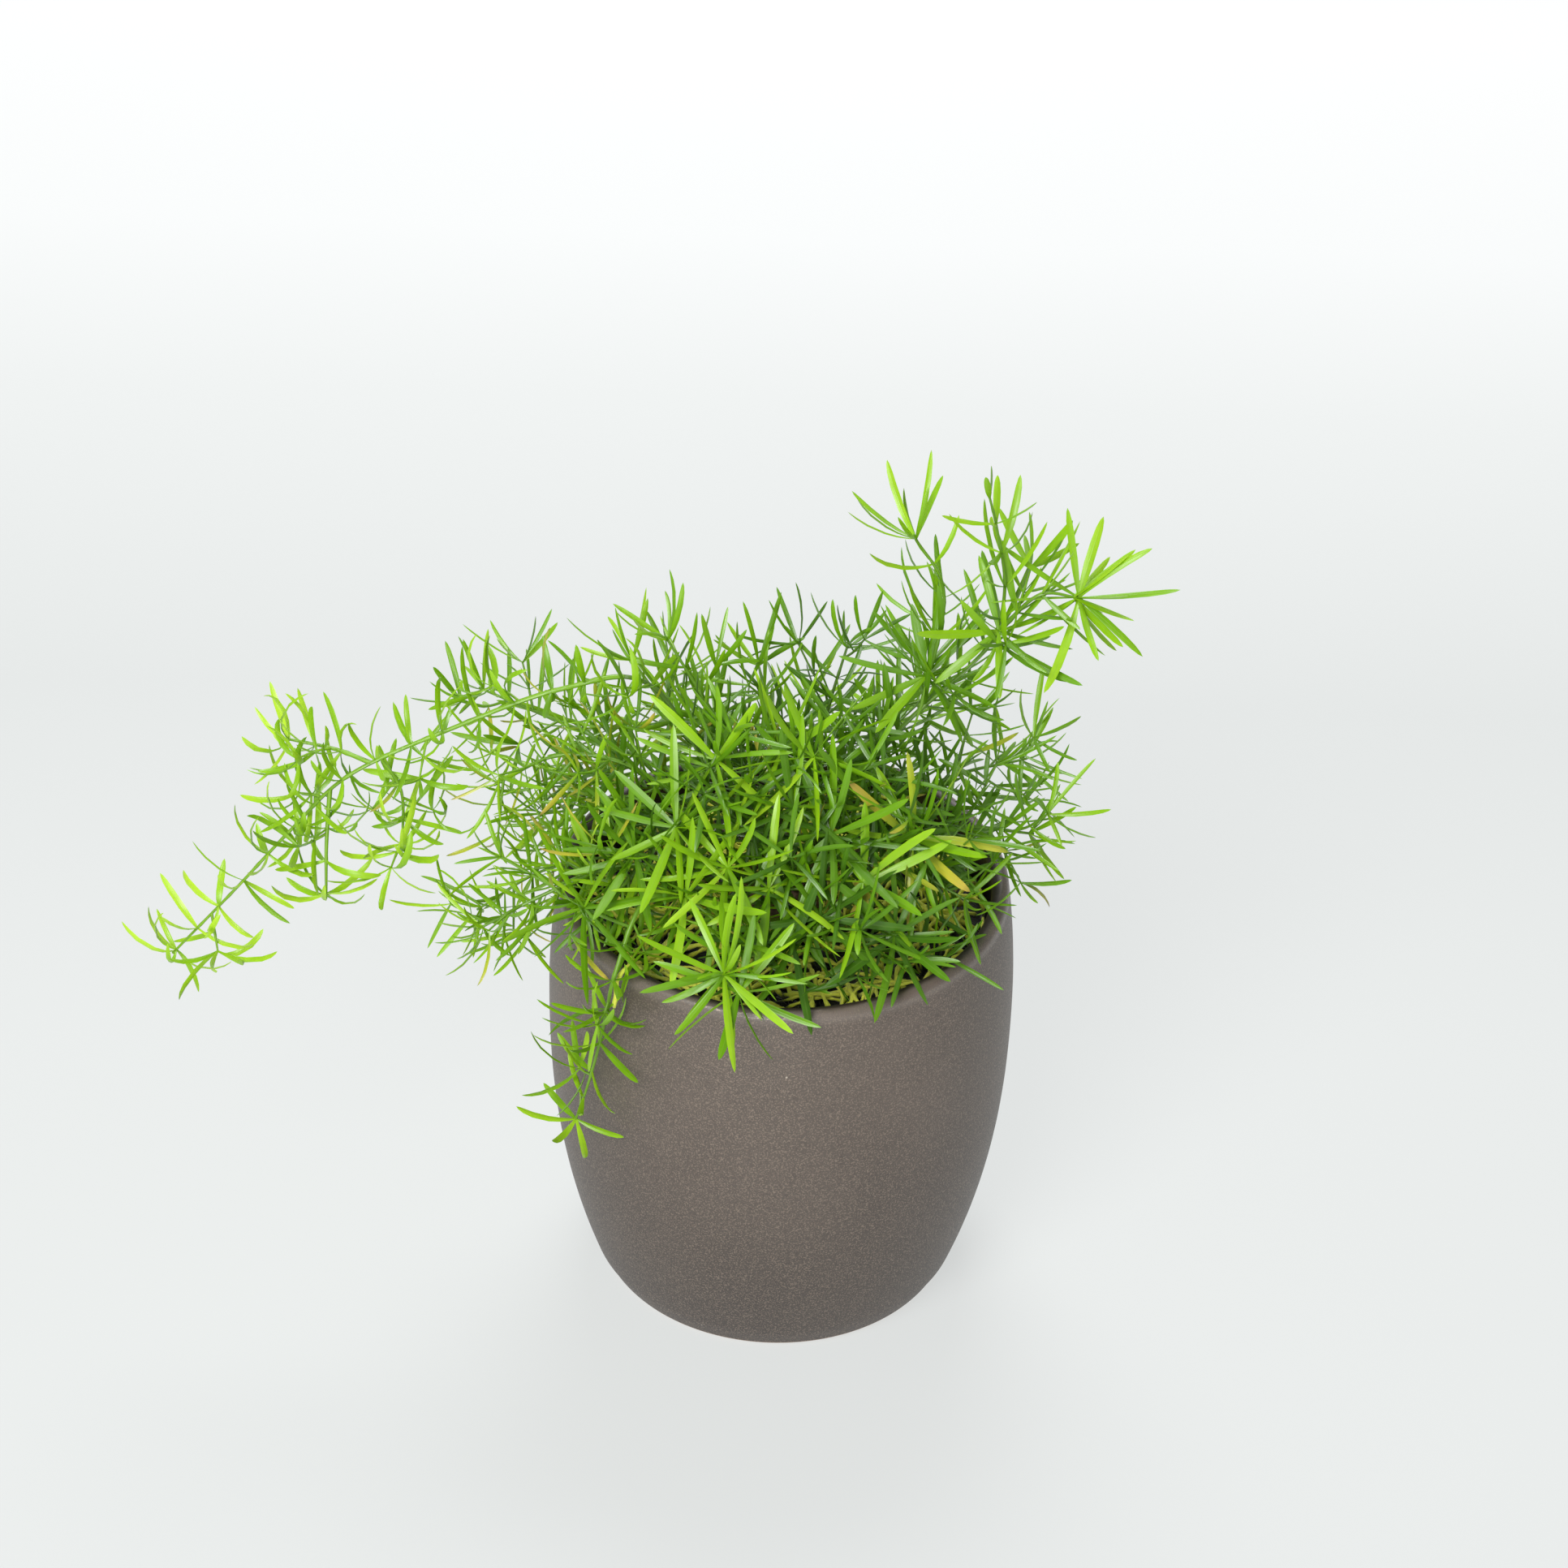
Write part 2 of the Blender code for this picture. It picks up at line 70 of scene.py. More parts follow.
# ================================================================ pot
# Turned stoneware, thrown thin, with a rounded rim and a shallow foot ring of bare clay. Its matte
# grey-brown glaze is full of fine metallic specks. It is painted darker towards the foot and in the
# mouth as painted shade. It breaks to rust red where it runs thin on the rim, and a painted highlight
# runs pale round the rim's outer edge, where the glaze is also glossier.
POT_HEIGHT = 0.129
FOOT_RADIUS = 0.051
BELLY_RADIUS = 0.065
BELLY_HEIGHT = 0.089
RIM_RADIUS = 0.062
POT_WALL = 0.005
POT_FLOOR = 0.007
FOOT_CURVE = 2.35
FOOT_ROUNDING = 0.0025
FOOT_ROUNDING_END = math.radians(75)
FOOT_RING_INSIDE = 0.041
FOOT_RECESS = 0.0012
POT_SIDES = 160
SEAM_DISTANCE = 1e-7


class Wire:
    """A shader socket. Arithmetic on it adds Math nodes, and make() adds any other node."""

    def __init__(self, tree, socket):
        self.tree, self.socket = tree, socket

    def make(self, kind, settings, sockets, output=0):
        node = self.tree.nodes.new(kind)
        for name, value in settings.items():
            if name == "stops":
                ramp = node.color_ramp.elements
                while len(ramp) < len(value):
                    ramp.new(0.5)
                for stop, (place, colour) in zip(ramp, value):
                    stop.position, stop.color = place, (*colour, 1.0)
            else:
                setattr(node, name, value)
        for name, value in sockets.items():
            if isinstance(value, Wire):
                self.tree.links.new(value.socket, node.inputs[name])
            else:
                node.inputs[name].default_value = value
        return Wire(self.tree, node.outputs[output]) if node.outputs else None

    def math(self, operation, *values):
        return self.make("ShaderNodeMath", {"operation": operation}, dict(enumerate(values)))

    def __add__(self, other):
        return self.math("ADD", self, other)

    def __sub__(self, other):
        return self.math("SUBTRACT", self, other)

    def __rsub__(self, other):
        return self.math("SUBTRACT", other, self)

    def __mul__(self, other):
        return self.math("MULTIPLY", self, other)

    __radd__, __rmul__ = __add__, __mul__

    def between(self, low, high):
        """0 below low and 1 above high, with a smooth step from one to the other."""
        return self.make("ShaderNodeMapRange", {"interpolation_type": "SMOOTHSTEP"},
                         {"Value": self, "From Min": low, "From Max": high})

    def ramp(self, *stops):
        return self.make("ShaderNodeValToRGB", {"stops": stops}, {"Fac": self})

    def mixed(self, first, second):
        """The two colours mixed by this share."""
        return self.make("ShaderNodeMix", {"data_type": "RGBA"}, {0: self, 6: first, 7: second}, 2)

    def grain(self, scale, detail=2.0, roughness=0.5):
        """Noise over this place."""
        return self.make("ShaderNodeTexNoise", {},
                         {"Vector": self, "Scale": scale, "Detail": detail, "Roughness": roughness})

    def axis(self, index):
        return self.make("ShaderNodeSeparateXYZ", {}, {0: self}, index)

    def bump(self, distance, strength=1.0):
        return self.make("ShaderNodeBump", {},
                         {"Height": self, "Distance": distance, "Strength": strength})

    def surface(self, **sockets):
        """A Principled shader wired to the material's output. Underscores stand for spaces."""
        named = {name.replace("_", " "): value for name, value in sockets.items()}
        shader = self.make("ShaderNodeBsdfPrincipled", {}, named)
        self.make("ShaderNodeOutputMaterial", {}, {"Surface": shader})
        return shader


def new_material(name):
    """An empty material, and its object coordinates."""
    material = bpy.data.materials.new(name)
    material.use_nodes = True
    tree = material.node_tree
    tree.nodes.clear()
    place = Wire(tree, None).make("ShaderNodeTexCoord", {}, {}, 3)
    return material, place


def rgb(red, green, blue):
    return (red, green, blue, 1.0)


def face_outwards(bm):
    """Closes the seams, and turns the faces of every shell so that they point out of it."""
    bmesh.ops.remove_doubles(bm, verts=bm.verts, dist=SEAM_DISTANCE)
    bmesh.ops.recalc_face_normals(bm, faces=bm.faces)
    waiting = set(bm.faces)
    inverted = []
    while waiting:
        shell, fringe = [], [waiting.pop()]
        while fringe:
            face = fringe.pop()
            shell.append(face)
            near = {other for edge in face.edges for other in edge.link_faces} & waiting
            waiting -= near
            fringe.extend(near)
        origin = shell[0].verts[0].co
        volume = sum((face.calc_center_median() - origin).dot(face.normal) * face.calc_area()
                     for face in shell)
        if volume < 0:
            inverted += shell
    bmesh.ops.reverse_faces(bm, faces=inverted)


def finished(name, bm, material, smooth=180.0):
    """The piece as an object of one material, smooth except at edges sharper than the angle."""
    face_outwards(bm)
    mesh = bpy.data.meshes.new(name)
    bm.to_mesh(mesh)
    bm.free()
    mesh.materials.append(material)
    mesh.shade_smooth()
    if smooth < 180.0:
        mesh.set_sharp_from_angle(angle=math.radians(smooth))
    piece = bpy.data.objects.new(name, mesh)
    bpy.context.scene.collection.objects.link(piece)
    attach(piece, "root")
    return piece


def outer_radius(z):
    """The pot's outer radius at a height, which swells from the foot to the belly."""
    if z < BELLY_HEIGHT:
        share = (BELLY_HEIGHT - max(z, 0.0)) / BELLY_HEIGHT
        return BELLY_RADIUS - (BELLY_RADIUS - FOOT_RADIUS) * share**FOOT_CURVE
    share = (z - BELLY_HEIGHT) / (POT_HEIGHT - BELLY_HEIGHT)
    return BELLY_RADIUS - (BELLY_RADIUS - RIM_RADIUS) * share**2


def steps(start, end, count):
    return [start + (end - start) * i / count for i in range(count + 1)]


def turned(profile, sides):
    """A closed solid turned from its outline, given as radii and heights from pole to pole."""
    bm = bmesh.new()
    points = [bm.verts.new((radius, 0.0, z)) for radius, z in profile]
    lines = [bm.edges.new(pair) for pair in zip(points, points[1:])]
    bmesh.ops.spin(bm, geom=points + lines, cent=(0, 0, 0), axis=(0, 0, 1),
                   angle=2 * math.pi, steps=sides, use_merge=True)
    bmesh.ops.remove_doubles(bm, verts=bm.verts, dist=1e-6)
    return bm


def turned_pot():
    rim = POT_WALL / 2
    rim_top = POT_HEIGHT - rim
    under = [(0, FOOT_RECESS), (FOOT_RING_INSIDE, FOOT_RECESS),
             (FOOT_RING_INSIDE + 0.0015, FOOT_RECESS / 2), (FOOT_RING_INSIDE + 0.0025, 0)]
    foot = [(FOOT_RADIUS - FOOT_ROUNDING * (1 - math.sin(a)), FOOT_ROUNDING * (1 - math.cos(a)))
            for a in steps(0.0, FOOT_ROUNDING_END, 6)]
    outside = [(outer_radius(z), z) for z in steps(FOOT_ROUNDING, rim_top, 40)]
    over = [(outer_radius(rim_top) - rim + rim * math.cos(a), rim_top + rim * math.sin(a))
            for a in steps(0.0, math.pi, 12)[1:-1]]
    inside = [(outer_radius(z) - POT_WALL, z) for z in steps(rim_top, POT_FLOOR + 0.01, 24)]
    corner = [(outer_radius(POT_FLOOR) - 0.0075, POT_FLOOR + 0.002),
              (outer_radius(POT_FLOOR) - 0.012, POT_FLOOR)]
    return turned(under + foot + outside[1:] + over + inside + corner + [(0, POT_FLOOR)], POT_SIDES)


# The glaze's patterns by their scale, and its colours.
CLOUD_SCALE = 26.0
SPECK_SCALE = 2300.0
PIT_SCALE = 1000.0
PIN_SCALE = 55.0
GLAZE_HIGH = (rgb(0.078, 0.060, 0.048), rgb(0.096, 0.074, 0.060))
# The glaze's colours at the foot, darker as painted shade.
GLAZE_PAINTED_SHADE = (rgb(0.036, 0.026, 0.021), rgb(0.045, 0.034, 0.027))
METAL_SPECK = rgb(0.40, 0.32, 0.26)
DARK_PIT = rgb(0.034, 0.023, 0.019)
PALE_PIN = rgb(0.52, 0.46, 0.38)
RUST_RED = rgb(0.075, 0.032, 0.022)
# The pale of the rim's outer edge: a painted highlight.
PAINTED_RIM_HIGHLIGHT = rgb(0.26, 0.22, 0.19)
# The dark of the mouth's inner wall: painted shade.
PAINTED_MOUTH_SHADE = rgb(0.024, 0.014, 0.011)
BARE_CLAY = rgb(0.42, 0.27, 0.18)


def speckled_glaze():
    material, place = new_material("speckled_glaze")
    height = place.axis(2)
    clouds = place.grain(CLOUD_SCALE, 3.0)
    fine = place.grain(SPECK_SCALE, 2.0, 0.6)
    coarse = place.grain(PIT_SCALE, 1.0)
    glint = fine.between(0.50, 0.64)
    pit = coarse.between(0.56, 0.72)
    upper = clouds.between(0.3, 0.7).mixed(*GLAZE_HIGH)
    lower = clouds.between(0.3, 0.7).mixed(*GLAZE_PAINTED_SHADE)
    # Painted shade: the glaze is coloured darker towards the foot.
    body = height.between(0.005, 0.115).mixed(lower, upper)
    body = (0.48 * glint).mixed(body, METAL_SPECK)
    body = (0.30 * pit).mixed(body, DARK_PIT)
    cells = place.make("ShaderNodeTexVoronoi", {}, {"Vector": place, "Scale": PIN_SCALE})
    pin = 1.0 - cells.between(0.012, 0.019)
    body = (0.75 * pin).mixed(body, PALE_PIN)
    thin = height.between(POT_HEIGHT - 0.0018, POT_HEIGHT - 0.0003) * clouds.between(0.42, 0.62)
    body = (0.40 * thin).mixed(body, RUST_RED)
    east, north = place.axis(0), place.axis(1)
    radius = place.math("SQRT", east * east + north * north)
    outside = radius.between(RIM_RADIUS - 0.0028, RIM_RADIUS - 0.0010)
    # A painted highlight: a pale band round the rim's outer edge, where the glaze is also made glossier.
    rim_highlight_band = outside * height.between(POT_HEIGHT - 0.0045, POT_HEIGHT - 0.0018)
    body = (0.28 * rim_highlight_band).mixed(body, PAINTED_RIM_HIGHLIGHT)
    # Painted shade: the inner wall of the mouth and the inner half of the rim top are coloured dark.
    mouth_shade = (1.0 - outside) * height.between(POT_HEIGHT - 0.029, POT_HEIGHT - 0.007)
    body = (0.80 * mouth_shade).mixed(body, PAINTED_MOUTH_SHADE)
    bare = 1.0 - height.between(FOOT_RECESS / 2, FOOT_RECESS / 2 + 0.001)
    body = bare.mixed(body, BARE_CLAY)
    place.surface(Base_Color=body, Roughness=0.50 - 0.06 * glint + 0.25 * bare - 0.12 * rim_highlight_band,
                  Metallic=0.60 * glint * (1.0 - bare), Specular_IOR_Level=0.7,
                  Normal=(fine + 0.5 * coarse).bump(0.00006, 0.5))
    return material


pot = finished("glazed_pot", turned_pot(), speckled_glaze())
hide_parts("pot")


# ================================================================ potting soil
# A plug of dark peat and bark that fills the pot to 17 mm below the rim, with a crumbled top.
# It is seen as black crumbs between the strands of moss.
soil_low, soil_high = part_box("potting_soil")
SOIL_TOP = soil_high.z
SOIL_GAP = 0.0004
SOIL_SIDES = 128
SOIL_SEED = 11
CRUMBS = 320
SMALL_CRUMB = 0.0005
LARGE_CRUMB = 0.0014


def crumbled_plug():
    rng = random.Random(SOIL_SEED)
    heights = steps(soil_low.z, SOIL_TOP - 0.001, 16)
    side = [(outer_radius(z) - POT_WALL - SOIL_GAP, z) for z in heights if z > 0.02]
    reach = side[0][0]
    under = [(0, heights[0]), (reach - 0.012, heights[0]), (reach - 0.005, heights[0] + 0.004)]
    top = [(side[-1][0] * share, SOIL_TOP - 0.0006) for share in steps(0.98, 0.0, 40)]
    bm = turned(under + side + top, SOIL_SIDES)
    for point in bm.verts:
        if point.co.z > SOIL_TOP - 0.0008:
            lump, grit = noise.noise(point.co * 300.0), noise.noise(point.co * 900.0)
            point.co.z += 0.0008 * lump + 0.0006 * grit
    for index in range(CRUMBS):
        size = rng.uniform(SMALL_CRUMB, LARGE_CRUMB)
        radius = (side[-1][0] - 0.002) * math.sqrt(rng.random())
        bearing = rng.uniform(0, 2 * math.pi)
        spot = (radius * math.cos(bearing), radius * math.sin(bearing), SOIL_TOP - 0.0003)
        place = Matrix.Translation(spot)
        turn = Matrix.Rotation(rng.uniform(0, math.pi), 4, (rng.random(), rng.random(), 1.0))
        shape = Matrix.Diagonal((size, size * rng.uniform(0.5, 0.9), size * rng.uniform(0.4, 0.8), 1.0))
        bmesh.ops.create_icosphere(bm, subdivisions=1, radius=1.0, matrix=place @ turn @ shape)
    return bm


def crumbly_peat():
    material, place = new_material("crumbly_peat")
    crumbs = place.grain(420.0, 4.0, 0.65)
    bits = place.grain(180.0, 1.0)
    colour = crumbs.ramp((0.3, (0.006, 0.004, 0.003)), (0.55, (0.022, 0.014, 0.009)),
                         (0.8, (0.060, 0.040, 0.026)))
    place.surface(Base_Color=colour, Roughness=0.95, Normal=(crumbs + bits).bump(0.0012))
    return material


soil = finished("crumbled_soil", crumbled_plug(), crumbly_peat(), 50.0)
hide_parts("potting_soil")


# ================================================================ root crown
# The woody lump at the middle of the plant, brown and fibrous and ringed with old scars. Every
# stalk grows from it.
crown_low, crown_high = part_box("root_crown")
CROWN_CENTRE = (crown_low + crown_high) / 2
CROWN_HALF = (crown_high - crown_low) / 2


def knobbly_crown():
    bm = bmesh.new()
    bmesh.ops.create_icosphere(bm, subdivisions=5, radius=1.0)
    for point in bm.verts:
        way = point.co.normalized()
        knob = 0.10 * noise.noise(way * 2.3) + 0.05 * noise.noise(way * 7.0)
        ring = 0.025 * math.sin(34.0 * way.z + 3.0 * noise.noise(way * 3.0))
        reach = 0.90 + knob + ring
        point.co = CROWN_CENTRE + Vector(a * b for a, b in zip(way, CROWN_HALF)) * reach
    return bm


def brown_bark():
    material, place = new_material("brown_bark")
    fibre = place.grain(500.0, 4.0, 0.6)
    patch = place.grain(120.0, 2.0)
    colour = (fibre * 0.6 + patch * 0.4).ramp(
        (0.32, (0.030, 0.017, 0.009)), (0.5, (0.115, 0.066, 0.032)), (0.68, (0.24, 0.16, 0.085)))
    place.surface(Base_Color=colour, Roughness=0.85, Normal=fibre.bump(0.0005))
    return material


crown = finished("knobbly_crown", knobbly_crown(), brown_bark())
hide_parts("root_crown")


# ================================================================ moss
# Dry cushion moss packed over the soil in six clumps: a felted mat with yellow-olive strands that
# loop up out of it, each set with scale-like leaves. The moss is coloured darker the lower it lies,
# near black on the mat, as painted shade in the gaps between the strands. One strand has slipped
# over the rim at the front left.
MOSS_CLUMPS = 6
MOSS_SEED = 40
MOSS_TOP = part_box("moss_1")[1].z
MOSS_INNER = CROWN_HALF.x + 0.001
MOUTH_RADIUS = RIM_RADIUS - POT_WALL
STRAND_RADIUS = 0.0007
STRANDS_PER_CLUMP = 80
STRAND_STEPS = 12
MAT_TOP = MOSS_TOP - 0.0042
MAT_BOTTOM = SOIL_TOP + 0.0003
OVER_RIM_CLUMP = 4
OVER_RIM_STEPS = 16
OVER_RIM = [(-30, -36, -10), (-36, -41, -4), (-40, -45, 2.4), (-43.5, -48.5, 0), (-44.5, -49.5, -9)]
MM = 0.001
SPAN_STEPS = 12
# The moss's colours, from near black painted shade on the mat to pale yellow strands.
MOSS_COLOURS_AND_PAINTED_SHADE = ((0.20, (0.008, 0.008, 0.003)), (0.38, (0.060, 0.066, 0.005)),
               (0.54, (0.42, 0.46, 0.016)), (0.76, (0.76, 0.80, 0.08)))


def from_mouth(point):
    """A place given in millimetres from the centre of the mouth."""
    return Vector((point[0] * MM, point[1] * MM, POT_HEIGHT + point[2] * MM))


def smooth_route(points, count):
    """That many even steps along a smooth curve through the given points."""
    ends = [2 * points[0] - points[1]] + points + [2 * points[-1] - points[-2]]
    dense = []
    for a, b, c, d in zip(ends, ends[1:], ends[2:], ends[3:]):
        for i in range(SPAN_STEPS):
            t = i / SPAN_STEPS
            dense.append(0.5 * (2 * b + (c - a) * t + (2 * a - 5 * b + 4 * c - d) * t**2
                                + (3 * b - a - 3 * c + d) * t**3))
    dense.append(points[-1])
    gone = [0.0]
    for a, b in zip(dense, dense[1:]):
        gone.append(gone[-1] + (b - a).length)
    route, after = [], 1
    for wanted in steps(0.0, gone[-1], count):
        while after < len(dense) - 1 and gone[after] < wanted:
            after += 1
        share = (wanted - gone[after - 1]) / max(gone[after] - gone[after - 1], 1e-12)
        route.append(dense[after - 1].lerp(dense[after], share))
    return route


def draw_wires(bm, wires, roundness=1):
    """Adds round closed wires, each a route and its radii. Returns their points."""
    curve = bpy.data.curves.new("wires", "CURVE")
    curve.dimensions, curve.bevel_depth = "3D", 1.0
    curve.bevel_resolution, curve.use_fill_caps = roundness, True
    for route, radii in wires:
        line = curve.splines.new("POLY")
        line.points.add(len(route) - 1)
        for point, spot, radius in zip(line.points, route, radii):
            point.co, point.radius = (*spot, 1.0), radius
    holder = bpy.data.objects.new("wires", curve)
    first = len(bm.verts)
    bm.from_mesh(holder.to_mesh())
    holder.to_mesh_clear()
    bpy.data.objects.remove(holder)
    bpy.data.curves.remove(curve)
    bm.verts.ensure_lookup_table()
    return bm.verts[first:]


def moss_spot(rng, number):
    """A place on a clump: its distance from the middle of the pot and its bearing."""
    radius = math.sqrt(rng.uniform(MOSS_INNER**2, (MOUTH_RADIUS - 0.002) ** 2))
    return radius, 2 * math.pi / MOSS_CLUMPS * (number + rng.uniform(-0.5, 0.5))


def moss_strand(rng, start, bearing, length, lift):
    """One looping strand, which rises from the mat and dips back into it: a route and radii."""
    points = [start.copy()]
    lean = rng.uniform(-1.2, 1.2)
    for step in range(1, 5):
        bearing += lean * rng.uniform(0.3, 1.0)
        move = Vector((math.cos(bearing), math.sin(bearing), 0)) * length / 4
        point = points[-1] + move
        reach = math.hypot(point.x, point.y)
        most = MOUTH_RADIUS - 0.0015
        if reach > most:
            point.x, point.y = point.x * most / reach, point.y * most / reach
        point.z = start.z + lift * math.sin(math.pi * step / 4) + rng.uniform(-0.0006, 0.0006)
        points.append(point)
    points[-1].z -= 0.0015
    route = smooth_route(points, STRAND_STEPS)
    swell = [1.0 if i % 2 else 0.62 for i in range(STRAND_STEPS + 1)]
    swell[0] = swell[-1] = 0.31
    size = STRAND_RADIUS * rng.uniform(0.7, 1.25)
    return route, [size * share for share in swell]


def moss_clump(number):
    rng = random.Random(MOSS_SEED + number)
    bm = bmesh.new()
    bmesh.ops.create_cube(bm, size=2.0)
    bmesh.ops.subdivide_edges(bm, edges=bm.edges, cuts=23, use_grid_fill=True)
    outer = MOUTH_RADIUS - 0.0008
    for point in bm.verts:
        u, v, w = point.co
        radius = MOSS_INNER + (outer - MOSS_INNER) * (u + 1) / 2
        bearing = 2 * math.pi / MOSS_CLUMPS * (number + v / 2 * 0.995)
        spot = Vector((radius * math.cos(bearing), radius * math.sin(bearing), 0.0))
        lump = noise.noise(spot * 90.0) * 0.0012 + noise.noise(spot * 420.0) * 0.0010
        top = MAT_TOP + lump - 0.002 * max(abs(u), abs(v)) ** 8
        spot.z = MAT_BOTTOM + (top - SOIL_TOP) * (w + 1) / 2
        point.co = spot
    strands = []
    for _ in range(STRANDS_PER_CLUMP):
        radius, bearing = moss_spot(rng, number)
        low = MOSS_TOP - rng.uniform(0.0042, 0.0014)
        start = Vector((radius * math.cos(bearing), radius * math.sin(bearing), low))
        strands.append(moss_strand(rng, start, rng.uniform(0, 2 * math.pi),
                                   rng.uniform(0.010, 0.030), rng.uniform(0.0010, 0.0055)))
    if number == OVER_RIM_CLUMP:
        route = smooth_route([from_mouth(point) for point in OVER_RIM], OVER_RIM_STEPS)
        radii = [STRAND_RADIUS * (1.1 if i % 2 else 0.7) for i in range(OVER_RIM_STEPS + 1)]
        strands.append((route, radii))
    draw_wires(bm, strands)
    return bm


def olive_moss():
    material, place = new_material("olive_moss")
    high = place.axis(2).between(MOSS_TOP - 0.0034, MOSS_TOP + 0.0006)
    tuft = place.grain(160.0, 2.0)
    fleck = place.grain(900.0, 3.0, 0.6)
    # Painted shade: the lower the moss lies, the darker it is coloured, near black on the mat.
    shade = (high * 0.62 + tuft * 0.30 + fleck * 0.24) - 0.10
    place.surface(Base_Color=shade.ramp(*MOSS_COLOURS_AND_PAINTED_SHADE), Roughness=0.8, Sheen_Weight=0.2, Sheen_Roughness=0.5,
                  Normal=fleck.bump(0.0004))
    return material


moss_finish = olive_moss()
for number in range(MOSS_CLUMPS):
    tuft = finished(f"moss_tuft_{number + 1}", moss_clump(number), moss_finish)
    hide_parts(f"moss_{number + 1}")


# ================================================================ stalks
# The bare lower part of each frond: a wiry round stem, brown where it leaves the crown and
# green above, slightly swollen at its nodes.
# For each frond, the share of it that is bare and its route, in millimetres from the centre of the
# mouth: x, y, and height over the rim.
FRONDS = {
    "left_arching": (0.34, [(-16, 3, 22), (-37, 4, 59), (-61, 0, 60), (-92, -4, 48),
                            (-118, -9, 36), (-134, -13, 20), (-149, -17, 3), (-167, -21, -17)]),
    "left_upper": (0.45, [(-20, 15, 14), (-48, 28, 22), (-70, 32, 30), (-86, 33, 37)]),
    "left_middle": (0.45, [(-22, 1, 16), (-42, 4, 32), (-62, 6, 34), (-80, 5, 24)]),
    "left_low": (0.45, [(-24, -12, 10), (-46, -22, 17), (-66, -28, 11), (-82, -31, 2)]),
    "top_left": (0.40, [(-14, 13, 18), (-30, 22, 34), (-44, 27, 53)]),
    "top_middle": (0.35, [(-8, 6, 22), (-20, 12, 44), (-34, 18, 66)]),
    "top_centre": (0.40, [(-2, 14, 20), (-5, 26, 35), (-9, 37, 46)]),
    "back_left": (0.45, [(-10, 22, 12), (-20, 40, 21), (-34, 54, 18)]),
    "back_right": (0.45, [(12, 22, 12), (25, 40, 20), (38, 53, 19)]),
    "back_low": (0.45, [(1, 26, 8), (2, 46, 14), (4, 64, 6)]),
    "right_back": (0.40, [(6, 16, 22), (11, 30, 36), (16, 38, 52)]),
    "right_middle": (0.40, [(16, 13, 16), (27, 23, 32), (36, 29, 47)]),
    "right_tall": (0.30, [(14, 4, 20), (31, 11, 43), (47, 16, 58), (55, 18, 69),
                          (57, 18, 85), (54, 15, 104), (51, 13, 117)]),
    "right_low": (0.45, [(22, 7, 12), (44, 14, 24), (66, 19, 28)]),
    "right_front": (0.45, [(22, -3, 12), (46, -3, 20), (68, -1, 17)]),
    "front_centre": (0.35, [(3, -6, 22), (6, -11, 34), (9, -15, 50)]),
    "front_left": (0.35, [(-7, -8, 20), (-15, -15, 36), (-21, -20, 51)]),
    "front_low": (0.40, [(-9, -20, 12), (-14, -32, 20), (-18, -44, 17)]),
    "front_middle": (0.40, [(1, -18, 16), (3, -31, 25), (8, -45, 15)]),
    "front_rim": (0.50, [(-5, -26, 8), (-9, -44, 13), (-14, -60, 17), (-15, -67, 16)]),
    "front_right": (0.40, [(13, -9, 18), (25, -17, 27), (36, -25, 32)]),
    "front_dark": (0.45, [(14, -22, 8), (25, -36, 11), (34, -46, 5)]),
    "front_trailing": (0.42, [(-17, -17, 12), (-36, -37, 19), (-44, -50, 4), (-46.5, -50, -10),
                              (-49, -49.5, -24), (-52, -48.5, -38), (-55.5, -46.5, -52)]),
}
STALK_RADIUS = 0.00072
TIP_RADIUS = 0.00034
ROUTE_STEP = 0.0015


def crown_exit(towards):
    """Two points that take a stalk straight out of the crown."""
    way = (towards - CROWN_CENTRE).normalized()
    reach = 1 / Vector(a / b for a, b in zip(way, CROWN_HALF)).length
    start = CROWN_CENTRE + way * (reach - 0.0012)
    return [start, start + way * 0.0055]


def route_through(line):
    length = sum((b - a).length for a, b in zip(line, line[1:]))
    return smooth_route(line, round(length / ROUTE_STEP))


def frond_route(points):
    way = [from_mouth(point) for point in points]
    return route_through(crown_exit(way[0]) + way)


def stem_radii(route, first, last):
    """Tapering radii with a slight swelling at every eighth step, where a node sits."""
    count = len(route) - 1
    return [(first + (last - first) * i / count) * (1.22 if i % 8 == 5 else 1.0)
            for i in range(count + 1)]


def wiry_green():
    material, place = new_material("wiry_green")
    height = place.axis(2)
    streak = place.grain(260.0, 3.0)
    young = (height + 0.02 * streak).between(POT_HEIGHT + 0.004, POT_HEIGHT + 0.040)
    old = streak.mixed(rgb(0.10, 0.060, 0.022), rgb(0.20, 0.15, 0.045))
    green = streak.mixed(rgb(0.045, 0.115, 0.016), rgb(0.12, 0.22, 0.03))
    place.surface(Base_Color=young.mixed(old, green), Roughness=0.45,
                  Normal=streak.bump(0.0001, 0.5))
    return material


routes = {name: frond_route(points) for name, (bare, points) in FRONDS.items()}
stalk_finish = wiry_green()
for name, (bare, points) in FRONDS.items():
    cut = round(bare * (len(routes[name]) - 1))
    stalk_route = routes[name][: cut + 1]
    bm = bmesh.new()
    draw_wires(bm, [(stalk_route, stem_radii(stalk_route, STALK_RADIUS, STALK_RADIUS * 0.85))], 2)
    stalk = finished(f"wiry_stalk_{name}", bm, stalk_finish)
    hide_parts(f"stalk_{name}")


# ================================================================ leafy shoots
# The upper part of each frond, in one growth: a thin green stem and its side twigs, with a
# whorl of flat, pointed needles at every node. The needles have a fine midrib and a soft gloss.
# They are lime green on young shoots and dark green low inside the plant, partly as older needles
# and partly as painted shade.

